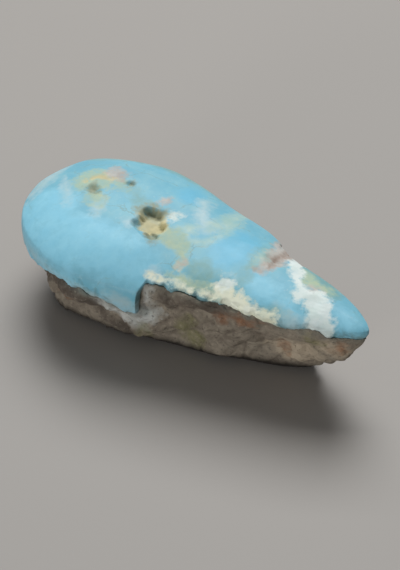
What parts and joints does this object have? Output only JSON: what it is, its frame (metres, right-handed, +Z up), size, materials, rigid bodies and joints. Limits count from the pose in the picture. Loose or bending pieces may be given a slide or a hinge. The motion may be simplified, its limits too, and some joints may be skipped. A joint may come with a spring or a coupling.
{
  "type": "turquoise nugget",
  "caption": "Teardrop turquoise nugget: a sky blue polished dome with cream and tan matrix over a rough brown flank, lying on a flat base.",
  "frame": {"origin": "on the flat base, under the middle of the bounding box", "axes": "+X along the stone from its round end to its tip, +Y away from the side where the rock flank comes up to the dome, +Z up out of the base"},
  "size_m": [0.0228, 0.0104, 0.0068],
  "materials": {
    "turquoise": "soft polish on the blue dome, dull and rough on the brown flank and the base"
  },
  "bodies": {
    "root": {"nugget": "turquoise"}
  },
  "joints": []
}
